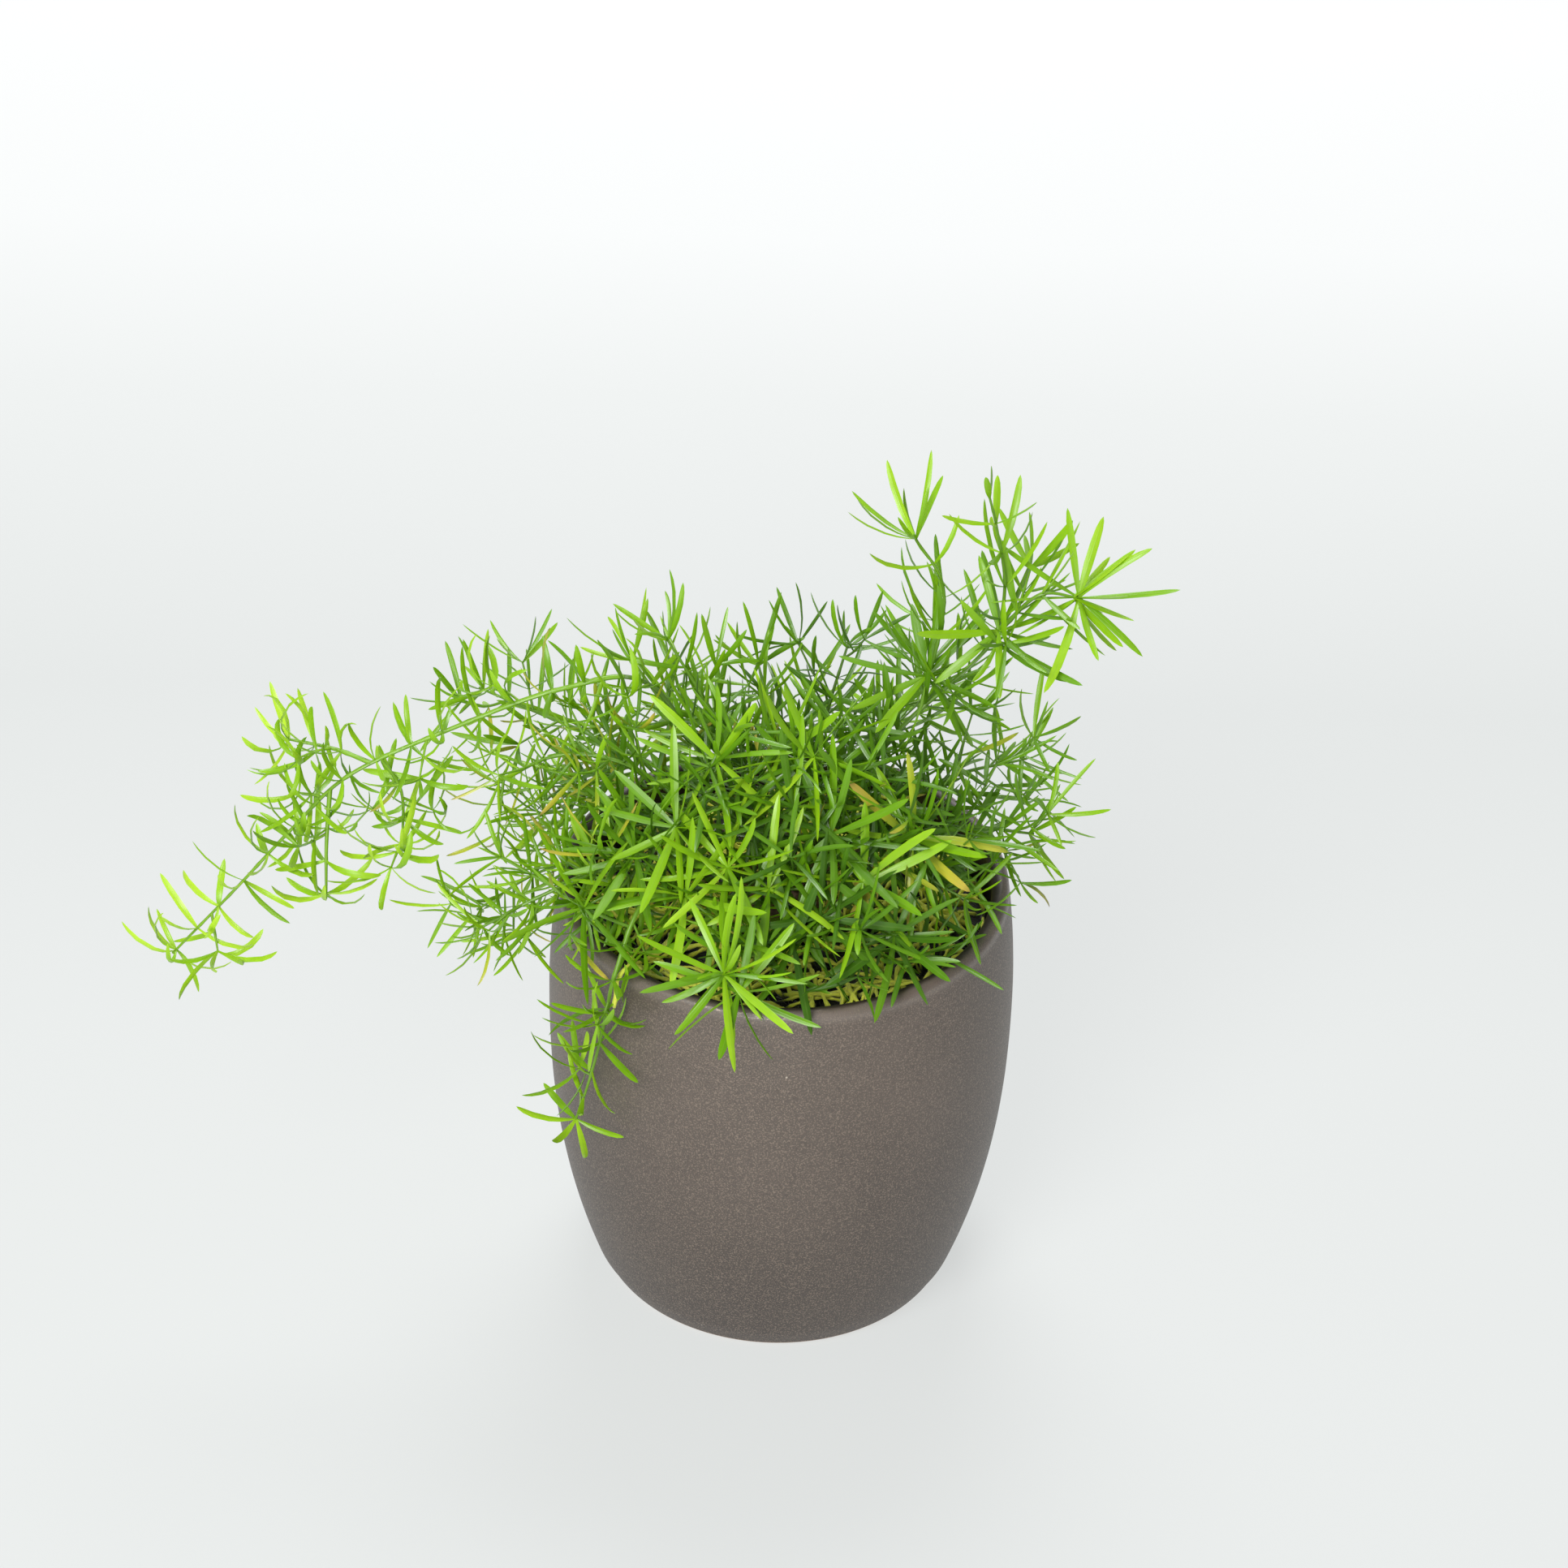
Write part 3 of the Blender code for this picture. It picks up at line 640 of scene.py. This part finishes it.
# A look gives the needles' length and width in millimetres, their tone from 0 (dark) to 1 (lime)
# and the share of them that is drying, then the number of side twigs and their reach in
# millimetres. Turn is the angle that a needle bends through and spread its angle to the stem, both
# in degrees. Gap is the distance between nodes in millimetres, tip the length of the last needles
# against the others, rise how far the twigs climb, and lean the least that needles bend upwards,
# which is below 0 where they may bend down.
Look = namedtuple("Look", "length width tone dry twigs reach turn spread gap tip rise lean")
ARCHING = Look(20, 1.75, 0.84, 0.005, 5, 15, 85, 80, 10.5, 1.0, 0.0, 0.5)
# The tones of UNDER and of the front_middle and front_right fronds are set darker, partly as painted shade
# under the fronds above.
UNDER = Look(22, 1.6, 0.41, 0.01, 8, 22, 24, 76, 9.0, 1.0, 0.05, -0.9)
DENSE = Look(20, 1.45, 0.56, 0.01, 10, 22, 30, 70, 9.0, 1.0, 0.05, -0.6)
AIRY = DENSE._replace(length=21, width=1.55, twigs=3, reach=18, gap=10.5, tone=0.62, spread=62)
FINE = Look(19, 1.25, 0.70, 0.06, 12, 23, 42, 68, 9.0, 1.0, 0.0, -0.3)
DARK = DENSE._replace(tone=0.32, twigs=5, gap=10)
LOOKS = {
    "left_arching": ARCHING,
    "left_upper": FINE._replace(length=20, width=1.5, tone=0.62, dry=0.03, twigs=8, turn=25),
    "left_middle": FINE._replace(dry=0.30, twigs=11),
    "left_low": FINE._replace(width=1.3, tone=0.66, twigs=10),
    "top_left": AIRY,
    "top_middle": AIRY,
    "top_centre": AIRY._replace(tone=0.50, twigs=2),
    "back_left": AIRY,
    "back_right": AIRY._replace(twigs=2),
    "back_low": AIRY,
    "right_back": DARK,
    "right_middle": AIRY._replace(tone=0.52),
    "right_tall": ARCHING._replace(length=24, width=1.9, tone=0.64, twigs=5, turn=30, spread=66, tip=0.5),
    "right_low": DENSE._replace(tone=0.52, twigs=9),
    "right_front": DENSE._replace(tone=0.52, twigs=9),
    "front_centre": UNDER,
    "front_left": UNDER._replace(twigs=11),
    "front_low": UNDER._replace(tone=0.54, twigs=4),
    "front_middle": UNDER._replace(tone=0.38, twigs=7),
    "front_rim": UNDER._replace(tone=0.56, twigs=1),
    "front_right": UNDER._replace(tone=0.36, dry=0.08, twigs=9),
    "front_dark": DARK._replace(twigs=4),
    "front_trailing": ARCHING._replace(length=18, twigs=4, turn=55, tone=0.72, reach=12, gap=11),
    "left_arching_upper": ARCHING._replace(twigs=1, tone=0.86),
    "left_arching_lower": ARCHING._replace(twigs=1, tone=0.84),
    "right_tall_outer": ARCHING._replace(length=23, width=2.1, turn=14, spread=56, twigs=1, tone=0.72),
    "right_tall_inner": ARCHING._replace(length=24, width=1.7, twigs=1, turn=40, tone=0.68, spread=66),
}
# Side shoots: the frond each leaves, how far along its leafy part, and its route from there.
SIDE_SHOOTS = {
    "left_arching_upper": ("left_arching", 0.48, [(-122, -4, 41), (-136, -1, 42)]),
    "left_arching_lower": ("left_arching", 0.56, [(-124, -16, 18), (-124, -22, 4)]),
    "right_tall_outer": ("right_tall", 0.50, [(66, 17, 83), (77, 18, 82)]),
    "right_tall_inner": ("right_tall", 0.20, [(41, 20, 80), (32, 22, 98)]),
}
# Branches of a frond: routes that start from its nearest point.
BRANCHES = {
    "left_arching": [[(-104, -8, 30), (-104, -12, 14)]],
    "left_low": [[(-46, -10, 12), (-66, -8, 5), (-84, -12, -6)], [(-42, -28, 17), (-53, -33, 12)]],
    "left_middle": [[(-46, 10, 16), (-68, 14, 8)]],
    "left_upper": [[(-44, 26, 14), (-60, 34, 8)]],
    "front_left": [[(-26, -12, 28), (-42, -14, 25)]],
    "front_trailing": [[(-36, -24, 20), (-52, -24, 18)]],
    "right_front": [[(38, -20, 17), (50, -26, 12)]],
}
# Rosettes: the broad whorls at the ends of short twigs that face the light at the front, each a
# place, a tone and the share of its needles that are drying.
ROSETTE = Look(27, 2.35, 0.86, 0.0, 0, 0, 22, 82, 0, 1.0, 0.0, -0.9)
ROSETTES = {
    "front_centre": [((7, -17, 52), 0.80, 0), ((-2, -12, 50), 0.72, 0), ((2, -26, 42), 0.50, 0)],
    "front_left": [((-19, -18, 51), 0.76, 0), ((-29, -30, 37), 0.66, 0), ((-40, -28, 27), 0.56, 0)],
    "front_low": [((-15, -39, 31), 0.80, 0), ((-26, -43, 24), 0.74, 0)],
    "front_middle": [((-4, -41, 26), 0.74, 0), ((12, -30, 36), 0.44, 0), ((10, -45, 20), 0.32, 0)],
    "front_rim": [((-15, -67, 17), 0.70, 0), ((-11, -68, 12), 0.64, 0)],
    "front_right": [((34, -24, 31), 0.78, 0.5), ((21, -37, 26), 0.66, 0.1), ((24, -18, 36), 0.40, 0)],
    "front_dark": [((3, -48, 13), 0.24, 0), ((30, -42, 12), 0.32, 0)],
    "front_trailing": [((-53, -40, 17), 0.58, 0)],
    "right_tall": [((56, 16, 72), 0.64, 0), ((37, 14, 58), 0.60, 0)],
    "right_tall_outer": [((77, 18, 82), 0.72, 0)],
}
NEEDLE_STATIONS = [(0.0, 0.36), (0.10, 0.52), (0.25, 0.82), (0.42, 1.0), (0.68, 1.0), (0.85, 0.82),
                   (0.95, 0.46)]
NEEDLE_THICKNESS = 0.00055
SHOOT_SEED = 700
NEEDLE_ROLL = 38
TONE_SPREAD = 0.16
YOUNG_PART = 0.25
TWIG_STEPS = 9
LONG_TWIG = 0.018
TWIG_RADII = (0.00042, 0.00028)
ROSETTE_TWIG_RADII = (0.00050, 0.00040)
BRANCH_RADIUS = 0.00050
SHOOT_RADIUS = 0.00070
GOLDEN_ANGLE = math.radians(137.5)
UP = Vector((0, 0, 1))


def needle_pattern():
    """One straight needle of unit size: x across, y through and z along it. Its "leaf" values
    are tone, dryness, place across and place along."""
    bm = bmesh.new()
    leaf = bm.verts.layers.float_color.new("leaf")
    ring = bmesh.ops.create_circle(bm, cap_ends=True, segments=4, radius=0.5)["verts"]
    bmesh.ops.scale(bm, vec=(NEEDLE_STATIONS[0][1],) * 2 + (1,), verts=ring)
    lead = ring[0].link_faces[0]
    for (before, wide), (place, width) in zip(NEEDLE_STATIONS, NEEDLE_STATIONS[1:]):
        lead = bmesh.ops.extrude_discrete_faces(bm, faces=[lead])["faces"][0]
        bmesh.ops.translate(bm, vec=(0, 0, place - before), verts=lead.verts)
        bmesh.ops.scale(bm, vec=(width / wide,) * 2 + (1,), verts=lead.verts)
    tip = bmesh.ops.poke(bm, faces=[lead])["verts"][0]
    tip.co = (0, 0, 1)
    bmesh.ops.contextual_create(bm, geom=ring)
    for point in bm.verts:
        point[leaf] = (0, 0, 0.5 + point.co.x, point.co.z)
    mesh = bpy.data.meshes.new("needle_pattern")
    bm.to_mesh(mesh)
    bm.free()
    return mesh


def inside_pot(point):
    """Is this point in the pot's wall, under the moss or under the floor?"""
    if point.z > POT_HEIGHT + 0.0008:
        return False
    radius = math.hypot(point.x, point.y)
    outer = outer_radius(point.z)
    if point.z < 0.001 or radius > outer + 0.0008:
        return point.z < 0.001
    return radius > outer - POT_WALL - 0.0008 or point.z < MOSS_TOP


def add_needle(bm, leaf, root, way, bend, turn, roll, length, width, tone, dry):
    """Copies the pattern in along an arc that starts along the way and turns evenly towards the
    bend. The blade rolls about its own line."""
    radius = length / turn

    def on_arc(share):
        angle = turn * share
        return root + (way * math.sin(angle) + bend * (1 - math.cos(angle))) * radius

    if any(inside_pot(on_arc(share)) for share in (0.3, 0.5, 0.7, 0.85, 1.0)):
        return False
    first = len(bm.verts)
    bm.from_mesh(pattern)
    bm.verts.ensure_lookup_table()
    edge = way.cross(bend)
    for point in bm.verts[first:]:
        across, through, along = point.co
        angle, twist = turn * along, roll * (0.4 + 0.6 * along)
        face = bend * math.cos(angle) - way * math.sin(angle)
        over = edge * math.cos(twist) + face * math.sin(twist)
        up = face * math.cos(twist) - edge * math.sin(twist)
        point.co = on_arc(along) + over * across * width + up * through * NEEDLE_THICKNESS
        value = point[leaf]
        point[leaf] = (tone, dry, value[2], value[3])
    return True


def add_whorl(bm, leaf, rng, look, centre, along, share, spread, spin, count):
    """A ring of needles round a node. share is how young the node is, from 0 to 1."""
    out = along.orthogonal().normalized()
    for index in range(count):
        angle = spin + 2 * math.pi * (index + rng.uniform(-0.3, 0.3)) / count
        arm = Matrix.Rotation(angle, 3, along) @ out
        tilt = spread * rng.uniform(0.75, 1.15)
        way = along * math.cos(tilt) + arm * math.sin(tilt)
        light = UP * rng.uniform(look.lean, 1.2) + along * rng.uniform(-0.3, 0.5) \
            + Vector(rng.uniform(-0.35, 0.35) for _ in range(3))
        turn = math.radians(max(3.0, look.turn * rng.uniform(0.4, 1.5)))
        roll = math.radians(rng.uniform(-NEEDLE_ROLL, NEEDLE_ROLL))
        young = max(0.0, share - (1.0 - YOUNG_PART)) / YOUNG_PART
        size = look.length * MM * rng.uniform(0.72, 1.06) * (1.0 - (1.0 - look.tip) * young)
        wide = look.width * MM * rng.uniform(0.75, 1.12)
        # Needles low on a frond are toned darker: partly older needles, partly painted shade inside the
        # plant.
        hue = look.tone + 0.36 * (share - 0.7) + rng.uniform(-TONE_SPREAD, TONE_SPREAD)
        dry = rng.uniform(0.5, 1.0) if rng.random() < look.dry else 0.0
        for lift in (0.0, 0.5, 1.1):
            raised = (way + UP * lift).normalized()
            bend = (light - raised * light.dot(raised)).normalized()
            if add_needle(bm, leaf, centre, raised, bend, turn, roll, size, wide, hue, dry):
                break


def add_stem(bm, leaf, route, first, last, tone):
    for point in draw_wires(bm, [(route, stem_radii(route, first, last))]):
        point[leaf] = (tone, 0.0, 0.5, 0.0)


def add_leafy_stem(bm, leaf, rng, look, route, first):
    """A thin stem with a whorl at each node and, at its tip, a fuller one or two short needles."""
    add_stem(bm, leaf, route, first, TIP_RADIUS, look.tone - 0.16)
    spread = math.radians(look.spread)
    nodes = max(2, round(ROUTE_STEP / MM * len(route) / look.gap))
    for index in range(nodes):
        share = (index + 1) / nodes
        at = min(round(share * (len(route) - 1)), len(route) - 2)
        along = (route[at + 1] - route[at]).normalized()
        last = index == nodes - 1
        count = rng.choice((6, 7, 8)) if last else rng.choice((3, 4, 5))
        bare_tip = last and look.tip < 1.0
        opening = 0.42 if bare_tip else 0.9 if last else 1.0
        add_whorl(bm, leaf, rng, look, route[at], along, share, spread * opening,
                  GOLDEN_ANGLE * index, 2 if bare_tip else count)


def add_twigs(bm, leaf, rng, look, whole, lowest, number):
    """Short side twigs along a route, turned by the golden angle, with two or three whorls each."""
    spread = math.radians(look.spread)
    twiggy_part = 1.0 if look.tip == 1.0 else 0.6
    for index in range(number):
        share = (index + rng.uniform(0.1, 0.8)) / number * twiggy_part
        at = lowest + round(share * (len(whole) - 2 - lowest))
        along = (whole[at + 1] - whole[at]).normalized()
        arm = Matrix.Rotation(GOLDEN_ANGLE * index + 1.0, 3, along) @ along.orthogonal().normalized()
        way = (along * 0.55 + arm * 0.8 + UP * look.rise).normalized()
        reach = look.reach * MM * rng.uniform(0.6, 1.1) * (1.0 - 0.35 * share)
        ends = [whole[at], whole[at] + way * reach * 0.5,
                whole[at] + way * reach + UP * reach * rng.uniform(-0.15, 0.25)]
        if inside_pot(ends[1]) or inside_pot(ends[2]):
            continue
        twig = smooth_route(ends, TWIG_STEPS)
        add_stem(bm, leaf, twig, *TWIG_RADII, look.tone - 0.10)
        for place in ((3, 6, TWIG_STEPS) if reach > LONG_TWIG else (4, TWIG_STEPS)):
            ahead = (twig[place] - twig[place - 1]).normalized()
            tip = place == TWIG_STEPS
            add_whorl(bm, leaf, rng, look, twig[place], ahead, share, spread * (0.85 if tip else 1.0),
                      rng.uniform(0.0, 2 * math.pi), rng.choice((4, 5, 6) if tip else (2, 3, 4)))


def add_rosette(bm, leaf, rng, whole, place, tone, dry):
    """A broad whorl on a short twig that leaves the frond at its nearest point."""
    facing = Vector((rng.uniform(-0.25, 0.25), -0.75, 0.65)).normalized()
    root = min(whole, key=lambda spot: (spot - place).length)
    twig = smooth_route([root, (root + place - facing * 0.006) / 2, place - facing * 0.004, place], 8)
    add_stem(bm, leaf, twig, *ROSETTE_TWIG_RADII, tone - 0.15)
    add_whorl(bm, leaf, rng, ROSETTE._replace(tone=tone, dry=dry), place, facing, 0.7,
              math.radians(ROSETTE.spread), rng.uniform(0.0, 2 * math.pi), rng.choice((9, 10, 11)))


def leafy_shoot(name, whole, cut, number):
    """The shoot along a frond's whole route from the point where it is cut from its stalk."""
    rng = random.Random(SHOOT_SEED + number)
    look = LOOKS[name]
    bm = bmesh.new()
    leaf = bm.verts.layers.float_color.new("leaf")
    add_leafy_stem(bm, leaf, rng, look, whole[cut:], SHOOT_RADIUS)
    add_twigs(bm, leaf, rng, look, whole, round(cut * 0.6), look.twigs)
    for points in BRANCHES.get(name, []):
        way = [from_mouth(point) for point in points]
        branch = route_through([min(whole, key=lambda spot: (spot - way[0]).length)] + way)
        add_leafy_stem(bm, leaf, rng, look, branch, BRANCH_RADIUS)
        add_twigs(bm, leaf, rng, look, branch, 2, 3)
    for point, tone, dry in ROSETTES.get(name, []):
        add_rosette(bm, leaf, rng, whole, from_mouth(point), tone, dry)
    return bm


# Needle colours: fresh ones from dark to lime, dried ones from base to tip, and their midrib and
# the light that shines through them.
FRESH_GREENS = ((0.0, (0.034, 0.100, 0.010)), (0.28, (0.075, 0.200, 0.008)),
                (0.55, (0.170, 0.385, 0.006)), (0.80, (0.330, 0.600, 0.008)),
                (1.0, (0.540, 0.800, 0.040)))
DRIED_STRAW = ((0.0, (0.30, 0.38, 0.02)), (0.6, (0.68, 0.58, 0.05)), (0.88, (0.74, 0.50, 0.10)),
               (1.0, (0.30, 0.15, 0.05)))
PALE_MIDRIB = rgb(0.30, 0.46, 0.10)
LIT_THROUGH = rgb(0.44, 0.70, 0.01)
THROUGH_SHARE = 0.34


def needle_green():
    material, place = new_material("needle_green")
    leaf = place.make("ShaderNodeAttribute", {"attribute_name": "leaf"}, {}, 1)
    tone, dry, across = leaf.axis(0), leaf.axis(1), leaf.axis(2)
    along = place.make("ShaderNodeAttribute", {"attribute_name": "leaf"}, {}, 3)
    mottle = place.grain(300.0, 2.0)
    shade = tone + 0.12 * (mottle - 0.5) + 0.10 * along - 0.05
    dried = 0.92 * dry * along.between(-0.15, 0.55)
    colour = dried.mixed(shade.ramp(*FRESH_GREENS), along.ramp(*DRIED_STRAW))
    aside = across - 0.5
    rib = 1.0 - aside.math("ABSOLUTE", aside).between(0.0, 0.09)
    colour = (0.22 * rib).mixed(colour, PALE_MIDRIB)
    shader = place.make("ShaderNodeBsdfPrincipled", {},
                        {"Base Color": colour, "Roughness": 0.28 + 0.10 * mottle,
                         "Specular IOR Level": 0.62,
                         "Normal": (mottle + 0.6 * rib).bump(0.00012, 0.4)})
    through = place.make("ShaderNodeBsdfTranslucent", {}, {"Color": LIT_THROUGH})
    mix = place.make("ShaderNodeMixShader", {}, {0: THROUGH_SHARE, 1: shader, 2: through})
    place.make("ShaderNodeOutputMaterial", {}, {"Surface": mix})
    return material


pattern = needle_pattern()
needle_finish = needle_green()
wholes = {name: (routes[name], round(bare * (len(routes[name]) - 1)))
          for name, (bare, points) in FRONDS.items()}
for name, (parent, share, points) in SIDE_SHOOTS.items():
    whole, cut = wholes[parent]
    line = [whole[cut + round(share * (len(whole) - 1 - cut))]] + [from_mouth(point) for point in points]
    wholes[name] = (route_through(line), 0)
for number, (name, (whole, cut)) in enumerate(wholes.items()):
    shoot = finished(f"leafy_shoot_{name}", leafy_shoot(name, whole, cut, number), needle_finish, 60.0)
    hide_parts(f"shoot_{name}")


# ================================================================ floor and lights
# A wide pale studio floor that glows softly and gets brighter towards the back. Soft lights hang
# over the floor behind, high behind the plant and at the front left, and a low one far in front
# lays a broad sheen on the pot. A dim, even surround fills the shadows.
FLOOR_HALF = 4.0
FLOOR_GLOW = ((0.0, (0.60, 0.615, 0.61)), (0.28, (0.595, 0.61, 0.605)), (0.47, (0.565, 0.58, 0.575)),
              (0.67, (0.65, 0.665, 0.66)), (0.80, (0.74, 0.75, 0.75)), (1.0, (0.80, 0.80, 0.80)))
SURROUND_STRENGTH = 0.29
NEUTRAL = (1.0, 1.0, 1.0)
FAINTLY_WARM = (1.0, 0.995, 0.97)


def pale_floor():
    material, place = new_material("pale_floor")
    drift = place.grain(1.2, 2.0)
    back = place.axis(1) + 0.06 * (drift - 0.5) + 0.2
    place.surface(Base_Color=rgb(0.15, 0.155, 0.155), Roughness=0.6, Specular_IOR_Level=0.1,
                  Emission_Color=back.ramp(*FLOOR_GLOW), Emission_Strength=1.0)
    return material


def soft_light(name, place, target, size, power, colour):
    panel = bpy.data.lights.new(name, "AREA")
    panel.shape, panel.size, panel.energy, panel.color = "DISK", size, power, colour
    lamp = bpy.data.objects.new(name, panel)
    bpy.context.scene.collection.objects.link(lamp)
    aim = (Vector(target) - Vector(place)).to_track_quat("-Z", "Y")
    lamp.matrix_world = Matrix.Translation(place) @ aim.to_matrix().to_4x4()


bm = bmesh.new()
bmesh.ops.create_grid(bm, x_segments=8, y_segments=8, size=FLOOR_HALF)
floor_mesh = bpy.data.meshes.new("studio_floor")
bm.to_mesh(floor_mesh)
bm.free()
floor_mesh.materials.append(pale_floor())
floor = bpy.data.objects.new("studio_floor", floor_mesh)
bpy.context.scene.collection.objects.link(floor)

soft_light("far_softbox", (0.0, 1.05, 1.4), (0.0, 1.0, 0.0), 1.4, 4.0, NEUTRAL)
soft_light("top_softbox", (0.0, 0.75, 1.3), (0, 0, 0.15), 0.7, 14.5, NEUTRAL)
soft_light("front_softbox", (-0.50, -1.12, 1.30), (0, 0, 0.08), 0.8, 24.0, FAINTLY_WARM)
soft_light("low_softbox", (-0.32, -2.40, 0.64), (0, 0, 0.1), 1.0, 25.0, FAINTLY_WARM)
surround = bpy.data.worlds.new("bright_surround")
surround.use_nodes = True
background = surround.node_tree.nodes["Background"]
background.inputs["Color"].default_value = rgb(0.96, 0.985, 0.985)
background.inputs["Strength"].default_value = SURROUND_STRENGTH
bpy.context.scene.world = surround
bpy.context.scene.view_settings.view_transform = "Standard"
